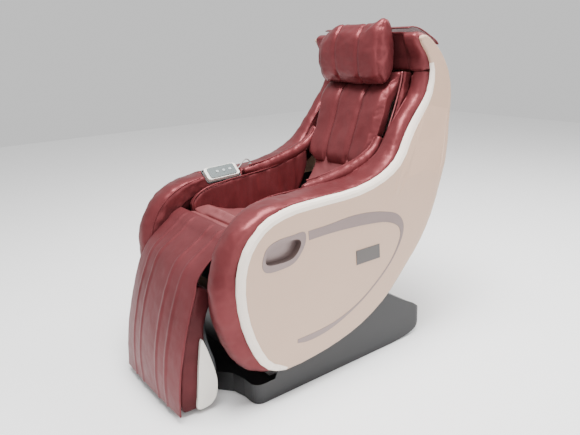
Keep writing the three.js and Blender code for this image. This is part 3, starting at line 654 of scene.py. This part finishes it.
# ---------------------------------------------------------------- head end
def make_head_cap():
    stations = np.linspace(-BOLSTER_X, BOLSTER_X, 90)
    ends, middle = curve(CAP_ENDS, 90, True), curve(CAP_MIDDLE, 90, True)
    rows = []
    for x in stations:
        mix = smoothstep(abs(x), 210, 250)
        ring = side_points(middle * (1 - mix) + ends * mix, x)
        edge = (BOLSTER_X - abs(x)) / 22
        if edge < 1:
            centre = ring.mean(0)
            pull = 1 - 0.22 * (1 - max(edge, 0)) ** 2.2
            ring[:, 1:] = centre[1:] + (ring[:, 1:] - centre[1:]) * pull
        ring[:, 2] = np.maximum(ring[:, 2], CAP_FLOOR + 0.5)
        rows.append(ring)
    cap = skin("head_roll", place(narrow(np.array(rows))))
    rumple(cap, 0.0035, 0.12, 71.0)
    settle(cap, "body", "burgundy_leather", ["head_cap"])


# ---------------------------------------------------------------- cloth panels
def leather_sheet(name, rows, thick):
    """A closed sheet of this thickness over a grid of mid points in metres."""
    rows = np.asarray(rows)
    down = np.gradient(rows, axis=0)
    across = np.gradient(rows, axis=1)
    normal = np.cross(across, down)
    normal /= np.linalg.norm(normal, axis=2, keepdims=True)
    out = rows + normal * thick / 2
    back = rows - normal * thick / 2
    sheet = skin(name, np.concatenate([out, back[:, ::-1]], axis=1), ends=False)
    close_ends(sheet)
    return sheet


def close_ends(piece):
    bm = bmesh.new()
    bm.from_mesh(piece.data)
    edges = [e for e in bm.edges if e.is_boundary]
    bmesh.ops.holes_fill(bm, edges=edges, sides=0)
    bmesh.ops.triangulate(bm, faces=[f for f in bm.faces if len(f.verts) > 4])
    bmesh.ops.recalc_face_normals(bm, faces=bm.faces)
    bm.to_mesh(piece.data)
    bm.free()


def flap_grid(columns=109, lines=141):
    """Mid surface of the front flap, over the roll at the seat's front and down the calves."""
    turn = np.radians(np.linspace(98, 140, 12))
    wrap = np.column_stack([LEG[0] + 79 * np.cos(turn), LEG[1] + 79 * np.sin(turn)])
    line = curve(np.vstack([wrap, FLAP_FACE[1:]]), lines)
    normal = normals_2d(line)
    if normal[lines // 2, 0] > 0:
        normal = -normal
    down = np.linspace(0, 1, lines)
    grid = []
    for k in range(lines):
        width = FLAP_HALF - 12 * smoothstep(line[k, 1], 400, 440)
        x = np.linspace(-1, 1, columns) * width
        u = x / width
        crown = 4 + 16 * math.sin(math.pi * min(max((down[k] - 0.12) / 0.88, 0), 1)) ** 0.8
        crown *= smoothstep(down[k], 0.05, 0.3)
        pillow = sum(np.exp(-((x - s) / 7) ** 2) for s in FLAP_SEAMS)
        lift = crown * (1 - u ** 2) ** 0.9 + 3.2 * pillow * smoothstep(down[k], 0.0, 0.05)
        y = line[k, 0] + normal[k, 0] * lift
        z = line[k, 1] + normal[k, 1] * lift
        grid.append(np.column_stack([x, y, z]))
    return np.array(grid)


def make_flap():
    rows = place(flap_grid())
    sheet = leather_sheet("flap", rows, 0.005)
    rumple(sheet, 0.0012, 0.09, 81.0)
    settle(sheet, None, "burgundy_leather", ["front_flap"], "flap_leather")
    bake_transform(sheet)


def make_strap():
    line = curve(STRAP, 60)
    x = np.linspace(-STRAP_HALF, STRAP_HALF, 80)
    rows = place(np.array([np.column_stack([x, np.full(80, y), np.full(80, z)])
                           for y, z in line]))
    sheet = leather_sheet("strap", rows, 0.004)
    settle(sheet, "body", "burgundy_leather", ["pillow_strap"])


# ---------------------------------------------------------------- hard pieces
def finish_node(node, material):
    """Gives a CAD node that stays shown its material, with crisp edges."""
    mesh = nodes[node].data
    mesh.materials.clear()
    mesh.materials.append(MATERIALS[material])
    mesh.shade_smooth()
    mesh.set_sharp_from_angle(angle=math.radians(32))


def paint_rim_highlights():
    """The rolled rim of each side shell is a little glossier than its face, and painted paler as
    a highlight where it faces the light.
    """
    rim = place(side_points(curve(RIM, 200)[:, :2], 0))[:, 1:]
    for hand in ("left", "right"):
        mesh = nodes[f"side_shell_{hand}"].data
        mesh.materials.append(MATERIALS["painted_rim_highlight"])
        corners = np.array([v.co for v in mesh.vertices])[:, 1:]
        gap = np.array([np.hypot(*(rim - corner).T).min() for corner in corners])
        for face in mesh.polygons:
            gaps = gap[list(face.vertices)]
            if gaps.max() < 0.0275 and gaps.min() < 0.016:
                face.material_index = 1


def make_hard_parts():
    """Finishes each CAD node by its slot, but the leg plates as pale as the remote."""
    for part in frame["record"]["subparts"]:
        pale = part["node"].startswith("leg_plate_")
        finish_node(part["node"], "remote_ivory" if pale else part["material_slot"])
    paint_rim_highlights()


def make_stage():
    bpy.ops.mesh.primitive_plane_add(size=12, location=(0, 0, 0))
    floor = bpy.context.object
    floor.name = "floor"
    shader = new_material("floor", (0.94, 0.94, 0.94), 0.75)[1]
    shader.inputs["Specular IOR Level"].default_value = 0.2
    floor.data.materials.append(MATERIALS["floor"])
    world = bpy.data.worlds.new("studio")
    world.use_nodes = True
    world.node_tree.nodes["Background"].inputs["Color"].default_value = (1, 1, 1, 1)
    world.node_tree.nodes["Background"].inputs["Strength"].default_value = 0.8
    bpy.context.scene.world = world
    for name, spot, size, power in (
            ("overhead", (0.5, -0.3, 3.4), 1.6, 250), ("fill", (3.4, -0.4, 1.8), 2.2, 45),
            ("rim", (0.9, 2.6, 3.0), 1.8, 90)):
        data = bpy.data.lights.new(name, "AREA")
        data.energy, data.size = power, size
        light = bpy.data.objects.new(name, data)
        light.location = spot
        ahead = Vector((0, 0, 0.6)) - Vector(spot)
        light.rotation_euler = ahead.to_track_quat("-Z", "Y").to_euler()
        bpy.context.scene.collection.objects.link(light)


make_seat()
make_back()
make_pillow()
make_inner_walls()
make_calf_rest()
make_bolsters()
make_head_cap()
make_flap()
make_strap()
make_hard_parts()
make_stage()
